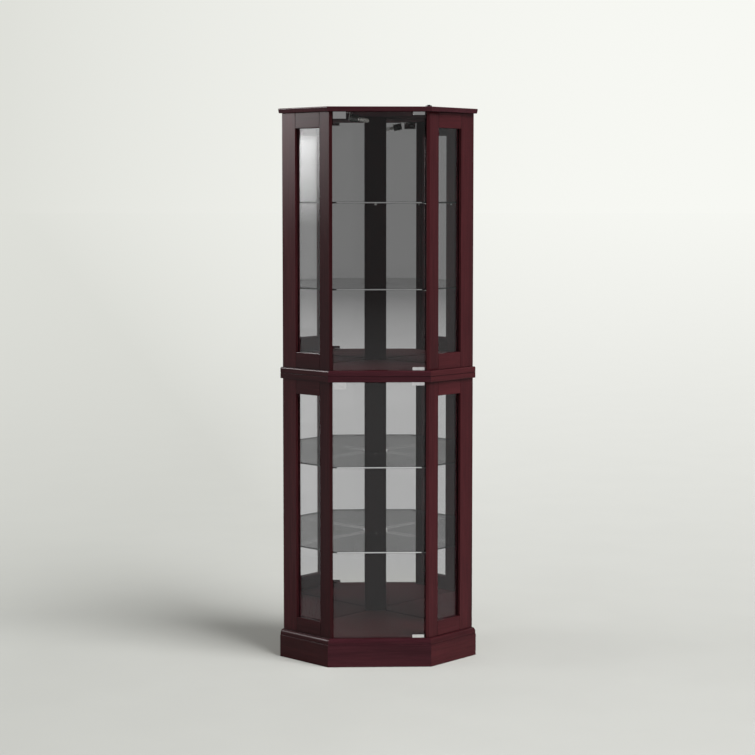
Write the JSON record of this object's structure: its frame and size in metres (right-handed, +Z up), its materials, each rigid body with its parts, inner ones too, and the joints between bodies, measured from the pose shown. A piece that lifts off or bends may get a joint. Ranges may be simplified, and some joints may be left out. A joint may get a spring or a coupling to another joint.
{
  "type": "corner curio cabinet",
  "caption": "Tall corner display cabinet with glazed canted sides, mirrored backs, glass shelves, frameless pivot-hung glass doors, touch latches and a small lamp under its top.",
  "frame": {"origin": "middle of the footprint's bounding box, at floor level", "axes": "+Z up, front door side towards -Y, +X to the right seen from the front"},
  "size_m": [0.648, 0.446, 1.8062],
  "materials": {
    "mahogany": "satin dark mahogany lacquer",
    "inner_wood": "plain sawn softwood",
    "back_panel": "stained board",
    "mirror_glass": "silvered glass",
    "door_glass": "clear, polished edges",
    "side_glass": "clear",
    "shelf_glass": "clear, polished edges",
    "bulb_glass": "clear",
    "bright_steel": "bright chrome plate",
    "nickel_plate": "nickel plate",
    "bushing_brass": "turned brass",
    "latch_plastic": "moulded dark brown",
    "plunger_plastic": "moulded dark brown",
    "socket_plastic": "moulded black",
    "switch_plastic": "moulded dark brown",
    "grommet_rubber": "matt black"
  },
  "bodies": {
    "cabinet": {"base_corner_blocks": "inner_wood", "bottom_board": "mahogany", "hinge_bushings": "bushing_brass", "lamp_bracket": "nickel_plate", "lamp_bulb": "bulb_glass", "lamp_lead_grommet": "grommet_rubber", "lamp_socket": "socket_plastic", "lamp_switch_base": "switch_plastic", "latch_bodies": "latch_plastic", "lower_centre_post": "mahogany", "lower_left_back_board": "back_panel", "lower_left_front_stile": "mahogany", "lower_left_mirror": "mirror_glass", "lower_left_rear_stile": "mahogany", "lower_left_side_glass": "side_glass", "lower_left_side_rails": "mahogany", "lower_right_back_board": "back_panel", "lower_right_front_stile": "mahogany", "lower_right_mirror": "mirror_glass", "lower_right_rear_stile": "mahogany", "lower_right_side_glass": "side_glass", "lower_right_side_rails": "mahogany", "lower_shelf_high": "shelf_glass", "lower_shelf_low": "shelf_glass", "lower_top_board": "mahogany", "plinth_back_rails": "inner_wood", "plinth_front": "mahogany", "plinth_left": "mahogany", "plinth_right": "mahogany", "shelf_pins": "nickel_plate", "side_glass_beads": "mahogany", "top_board": "mahogany", "upper_bottom_board": "mahogany", "upper_centre_post": "mahogany", "upper_left_back_board": "back_panel", "upper_left_front_stile": "mahogany", "upper_left_mirror": "mirror_glass", "upper_left_rear_stile": "mahogany", "upper_left_side_glass": "side_glass", "upper_left_side_rails": "mahogany", "upper_right_back_board": "back_panel", "upper_right_front_stile": "mahogany", "upper_right_mirror": "mirror_glass", "upper_right_rear_stile": "mahogany", "upper_right_side_glass": "side_glass", "upper_right_side_rails": "mahogany", "upper_shelf_high": "shelf_glass", "upper_shelf_low": "shelf_glass", "waist_moulding_front": "mahogany", "waist_moulding_left": "mahogany", "waist_moulding_right": "mahogany"},
    "upper_door": {"upper_door_glass": "door_glass", "upper_door_hinge_clips": "bright_steel", "upper_door_strike_plate": "bright_steel"},
    "lower_door": {"lower_door_glass": "door_glass", "lower_door_hinge_clips": "bright_steel", "lower_door_strike_plate": "bright_steel"},
    "upper_latch_plunger": {"upper_latch_plunger": "plunger_plastic"},
    "lower_latch_plunger": {"lower_latch_plunger": "plunger_plastic"},
    "lamp_switch_button": {"lamp_switch_button": "switch_plastic"}
  },
  "joints": [
    {"name": "upper_door_hinge", "type": "hinge", "parent": "cabinet", "child": "upper_door", "pos_m": [0.135, -0.20153, 1.3725], "axis": [0, 0, 1], "range_deg": [0, 110]},
    {"name": "lower_door_hinge", "type": "hinge", "parent": "cabinet", "child": "lower_door", "pos_m": [0.135, -0.20153, 0.507], "axis": [0, 0, 1], "range_deg": [0, 110]},
    {"name": "upper_latch_push", "type": "slide", "parent": "cabinet", "child": "upper_latch_plunger", "axis": [0, 1, 0], "range_m": [0, 0.003], "stiffness_N_per_m": 250},
    {"name": "lower_latch_push", "type": "slide", "parent": "cabinet", "child": "lower_latch_plunger", "axis": [0, 1, 0], "range_m": [0, 0.003], "stiffness_N_per_m": 250},
    {"name": "lamp_switch_press", "type": "slide", "parent": "cabinet", "child": "lamp_switch_button", "axis": [0, 0, -1], "range_m": [0, 0.0015], "stiffness_N_per_m": 400}
  ]
}
